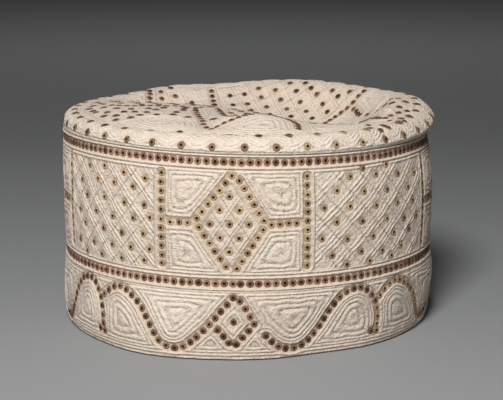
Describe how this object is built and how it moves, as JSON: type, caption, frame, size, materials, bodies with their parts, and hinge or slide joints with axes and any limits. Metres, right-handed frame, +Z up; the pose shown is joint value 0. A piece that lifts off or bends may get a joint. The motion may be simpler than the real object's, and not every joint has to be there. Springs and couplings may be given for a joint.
{
  "type": "kufi cap",
  "caption": "Round quilted cotton kufi cap with a rolled, dented crown, tall embroidered side wall, narrow eyelet bands and a hem band; open underneath for the head.",
  "frame": {"origin": "on the surface that the cap stands on, at the middle of its hem", "axes": "+Z up, -Y towards the front, +X to the right as seen from the front"},
  "size_m": [0.1876, 0.1866, 0.11],
  "materials": {
    "crown_cotton": "matt quilted cream cotton with eyelets worked in brown thread",
    "wall_cotton": "matt cream cotton, closely stitched over cords, with brown and tan eyelets",
    "hem_cotton": "matt cream cotton, closely stitched over cords, with waves of brown eyelets",
    "eyelet_band_cotton": "matt cotton set with a close row of eyelets in red-brown thread between two cream cords"
  },
  "bodies": {
    "root": {"crown": "crown_cotton", "upper_eyelet_band": "eyelet_band_cotton", "side_wall": "wall_cotton", "lower_eyelet_band": "eyelet_band_cotton", "hem_band": "hem_cotton"}
  },
  "joints": []
}
